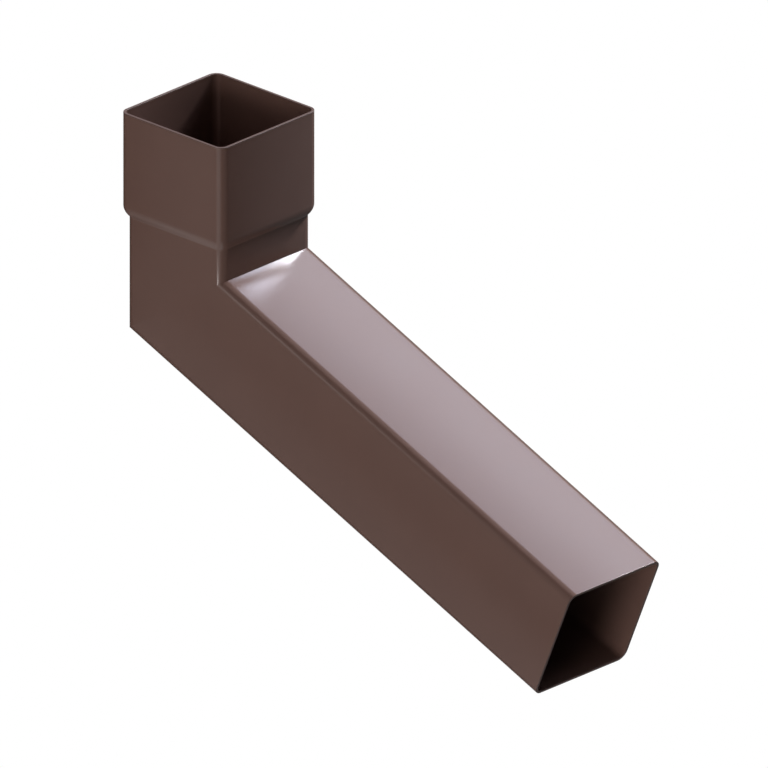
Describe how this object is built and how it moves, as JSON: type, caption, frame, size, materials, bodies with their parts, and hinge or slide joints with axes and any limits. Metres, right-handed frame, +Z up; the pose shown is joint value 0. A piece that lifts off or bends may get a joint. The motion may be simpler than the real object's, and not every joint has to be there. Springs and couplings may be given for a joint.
{
  "type": "downspout elbow",
  "caption": "Square downspout elbow with an upright push-on socket, a rounded shoulder, a sharp mitred bend and a long sloping leg cut square at its end.",
  "frame": {"origin": "centre of the socket's mouth, in the plane of its rim", "axes": "+Z up, out of the socket along the pipe above; +X the way the leg runs out as it slopes down; the part is the same on both sides of the XZ plane"},
  "size_m": [0.3361, 0.0768, 0.2556],
  "materials": {
    "brown_coating": "satin brown powder coat over aluminium, smooth, with a soft broad sheen"
  },
  "bodies": {
    "root": {"elbow": "brown_coating"}
  },
  "joints": []
}
